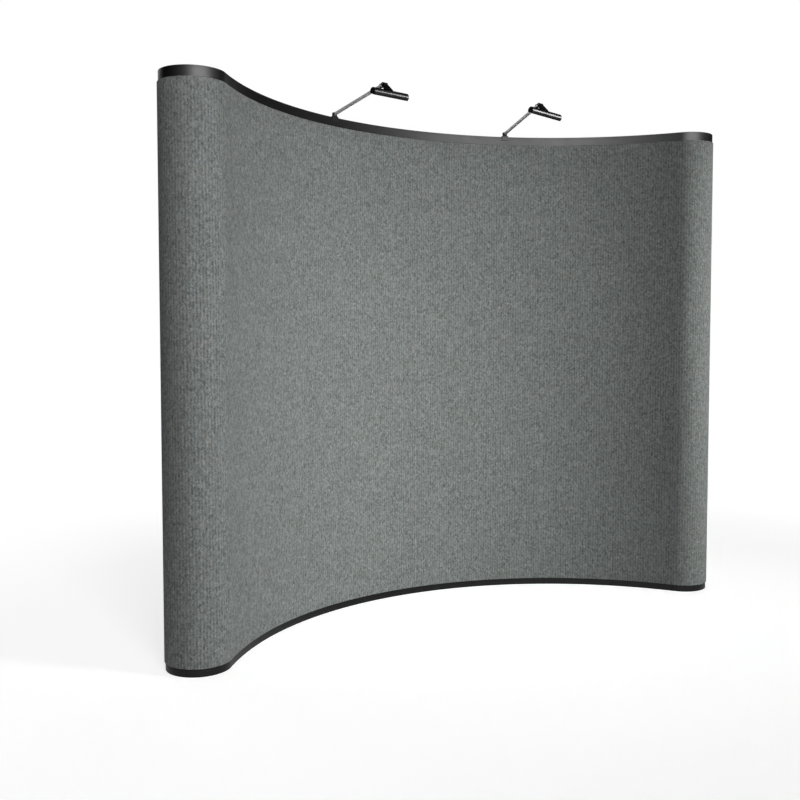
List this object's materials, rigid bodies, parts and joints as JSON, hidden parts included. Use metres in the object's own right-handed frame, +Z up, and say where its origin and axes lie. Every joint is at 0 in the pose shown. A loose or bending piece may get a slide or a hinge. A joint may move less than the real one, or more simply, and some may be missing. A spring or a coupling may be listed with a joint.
{
  "type": "pop up display backwall",
  "caption": "Curved free-standing display wall: folding tube frame behind magnetic fabric panels, black top and bottom rails, half-round ends and clamp-on arm lamps.",
  "frame": {"origin": "on the floor at the middle of the footprint (centre of the bounding box, at its bottom)", "axes": "+Z up; the hollow fabric face looks towards -Y and the tube frame is on the +Y side; X runs along the width"},
  "size_m": [2.7452, 0.8919, 2.3493],
  "materials": {
    "tube_aluminium": "brushed",
    "bar_aluminium": "satin anodised",
    "hub_plastic": "moulded, fine texture",
    "steel_pins": "turned",
    "foot_rubber": "matt",
    "magnet_rubber": "matt",
    "rail_black": "semi-gloss",
    "panel_board": "matt",
    "panel_fabric": "looped, heathered",
    "lamp_black": "semi-gloss",
    "knob_plastic": "moulded",
    "arm_silver": "satin silver",
    "reflector_metal": "bright",
    "bulb_glass": "clear",
    "lamp_glass": "clear"
  },
  "bodies": {
    "frame": {"front_hubs": "hub_plastic", "rear_hubs": "hub_plastic", "hub_pins": "steel_pins", "row_tubes": "tube_aluminium", "column_tubes": "tube_aluminium", "cross_rivets": "steel_pins", "front_lock_posts": "hub_plastic", "rear_lock_posts": "hub_plastic", "feet": "foot_rubber", "channel_bar_1": "bar_aluminium", "channel_bar_2": "bar_aluminium", "channel_bar_3": "bar_aluminium", "channel_bar_4": "bar_aluminium", "channel_bar_5": "bar_aluminium", "rear_bar_left": "bar_aluminium", "rear_bar_right": "bar_aluminium", "magnet_strips": "magnet_rubber", "header_rail": "rail_black", "header_end_left": "rail_black", "header_end_right": "rail_black", "footer_rail": "rail_black", "footer_end_left": "rail_black", "footer_end_right": "rail_black"},
    "panel_1": {"panel_1_board": "panel_board", "panel_1_fabric": "panel_fabric"},
    "panel_2": {"panel_2_board": "panel_board", "panel_2_fabric": "panel_fabric"},
    "panel_3": {"panel_3_board": "panel_board", "panel_3_fabric": "panel_fabric"},
    "panel_4": {"panel_4_board": "panel_board", "panel_4_fabric": "panel_fabric"},
    "end_left": {"end_left_board": "panel_board", "end_left_fabric": "panel_fabric"},
    "end_right": {"end_right_board": "panel_board", "end_right_fabric": "panel_fabric"},
    "left_clamp": {"left_clamp": "lamp_black"},
    "left_clamp_pad": {"left_clamp_pad": "steel_pins"},
    "left_clamp_screw": {"left_clamp_screw": "knob_plastic"},
    "left_turret": {"left_turret": "lamp_black"},
    "left_arm": {"left_arm": "arm_silver"},
    "left_knuckle": {"left_knuckle": "lamp_black"},
    "left_head": {"left_bracket": "lamp_black", "left_housing": "lamp_black", "left_reflector": "reflector_metal", "left_bulb": "bulb_glass", "left_glass": "lamp_glass", "left_gland": "foot_rubber"},
    "right_clamp": {"right_clamp": "lamp_black"},
    "right_clamp_pad": {"right_clamp_pad": "steel_pins"},
    "right_clamp_screw": {"right_clamp_screw": "knob_plastic"},
    "right_turret": {"right_turret": "lamp_black"},
    "right_arm": {"right_arm": "arm_silver"},
    "right_knuckle": {"right_knuckle": "lamp_black"},
    "right_head": {"right_bracket": "lamp_black", "right_housing": "lamp_black", "right_reflector": "reflector_metal", "right_bulb": "bulb_glass", "right_glass": "lamp_glass", "right_gland": "foot_rubber"}
  },
  "joints": [
    {"name": "panel_1_pull_off", "type": "slide", "parent": "frame", "child": "panel_1", "axis": [0.6544, -0.7561, 0], "range_m": [0, 0.24]},
    {"name": "panel_2_pull_off", "type": "slide", "parent": "frame", "child": "panel_2", "axis": [0.2356, -0.9719, 0], "range_m": [0, 0.12]},
    {"name": "panel_3_pull_off", "type": "slide", "parent": "frame", "child": "panel_3", "axis": [-0.2356, -0.9719, 0], "range_m": [0, 0.24]},
    {"name": "panel_4_pull_off", "type": "slide", "parent": "frame", "child": "panel_4", "axis": [-0.6544, -0.7561, 0], "range_m": [0, 0.12]},
    {"name": "end_left_pull_off", "type": "slide", "parent": "frame", "child": "end_left", "axis": [-0.5807, -0.8141, 0], "range_m": [0, 0.3]},
    {"name": "end_right_pull_off", "type": "slide", "parent": "frame", "child": "end_right", "axis": [0.5807, -0.8141, 0], "range_m": [0, 0.3]},
    {"name": "left_lamp_travel", "type": "hinge", "parent": "frame", "child": "left_clamp", "pos_m": [0, -1.20188, 2.25], "axis": [0, 0, 1], "range_deg": [-4, 4]},
    {"name": "left_clamp_grip", "type": "slide", "parent": "left_clamp", "child": "left_clamp_pad", "axis": [-0.3289, 0.9444, 0], "range_m": [0, 0.003]},
    {"name": "left_clamp_knob", "type": "hinge", "parent": "left_clamp_pad", "child": "left_clamp_screw", "pos_m": [-0.46699, 0.13914, 2.243], "axis": [-0.3289, 0.9444, 0], "range_deg": [0, 1080]},
    {"name": "left_lamp_swivel", "type": "hinge", "parent": "left_clamp", "child": "left_turret", "pos_m": [-0.46239, 0.12592, 2.254], "axis": [0, 0, 1], "range_deg": [-45, 45]},
    {"name": "left_arm_lift", "type": "hinge", "parent": "left_turret", "child": "left_arm", "pos_m": [-0.46239, 0.12592, 2.266], "axis": [-0.9632, -0.2689, 0], "range_deg": [-6.5, 47]},
    {"name": "left_head_turn", "type": "hinge", "parent": "left_arm", "child": "left_knuckle", "pos_m": [-0.37877, -0.17358, 2.33722], "axis": [-0.06, 0.215, 0.9748], "range_deg": [-40, 40]},
    {"name": "left_head_tilt", "type": "hinge", "parent": "left_knuckle", "child": "left_head", "pos_m": [-0.37472, -0.19065, 2.34123], "axis": [0.9725, 0.2327, 0.0086], "range_deg": [-30, 30]},
    {"name": "right_lamp_travel", "type": "hinge", "parent": "frame", "child": "right_clamp", "pos_m": [0, -1.20188, 2.25], "axis": [0, 0, 1], "range_deg": [-4, 4]},
    {"name": "right_clamp_grip", "type": "slide", "parent": "right_clamp", "child": "right_clamp_pad", "axis": [0.3289, 0.9444, 0], "range_m": [0, 0.003]},
    {"name": "right_clamp_knob", "type": "hinge", "parent": "right_clamp_pad", "child": "right_clamp_screw", "pos_m": [0.46699, 0.13914, 2.243], "axis": [0.3289, 0.9444, 0], "range_deg": [0, 1080]},
    {"name": "right_lamp_swivel", "type": "hinge", "parent": "right_clamp", "child": "right_turret", "pos_m": [0.46239, 0.12592, 2.254], "axis": [0, 0, 1], "range_deg": [-45, 45]},
    {"name": "right_arm_lift", "type": "hinge", "parent": "right_turret", "child": "right_arm", "pos_m": [0.46239, 0.12592, 2.266], "axis": [-0.9954, 0.0958, 0], "range_deg": [-6.5, 47]},
    {"name": "right_head_turn", "type": "hinge", "parent": "right_arm", "child": "right_knuckle", "pos_m": [0.43258, -0.1836, 2.33722], "axis": [0.0214, 0.2222, 0.9748], "range_deg": [-40, 40]},
    {"name": "right_head_tilt", "type": "hinge", "parent": "right_knuckle", "child": "right_head", "pos_m": [0.43578, -0.20089, 2.34109], "axis": [0.9839, 0.1686, -0.06], "range_deg": [-30, 30]}
  ],
  "couplings": [
    {"joint": "left_clamp_knob", "follows": "left_clamp_grip", "rad_per_m": 6283.2},
    {"joint": "right_clamp_knob", "follows": "right_clamp_grip", "rad_per_m": 6283.2}
  ]
}
